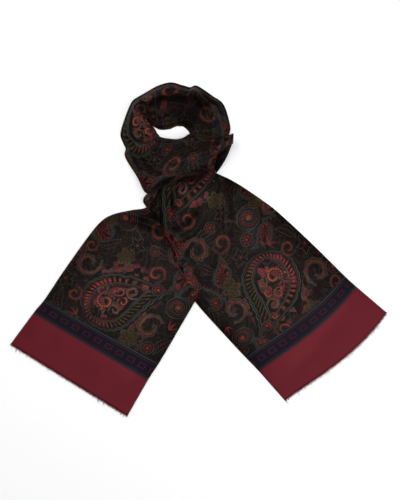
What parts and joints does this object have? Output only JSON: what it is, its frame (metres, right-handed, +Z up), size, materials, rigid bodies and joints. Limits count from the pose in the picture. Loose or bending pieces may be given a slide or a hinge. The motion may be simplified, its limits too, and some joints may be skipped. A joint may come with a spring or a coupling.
{
  "type": "silk scarf",
  "caption": "Fringed oblong silk scarf with a dark paisley print and plain burgundy ends, wrapped once round an empty neck ring and laid flat with its tails apart.",
  "frame": {"origin": "on the surface the scarf lies on, under the middle of its box", "axes": "+X to the right across the laid scarf, +Y from the fringed ends towards the neck ring, +Z up from the surface"},
  "size_m": [0.7738, 0.6886, 0.0288],
  "materials": {
    "printed_silk": "printed silk twill, soft satin sheen",
    "burgundy_silk": "plain silk, soft satin sheen, clipped fringe"
  },
  "bodies": {
    "root": {"left_tail": "printed_silk", "right_tail": "printed_silk", "neck_back": "printed_silk", "neck_front": "printed_silk", "wrap_turn": "printed_silk", "lip_fold": "printed_silk", "fringe_left": "burgundy_silk", "fringe_right": "burgundy_silk"}
  },
  "joints": []
}
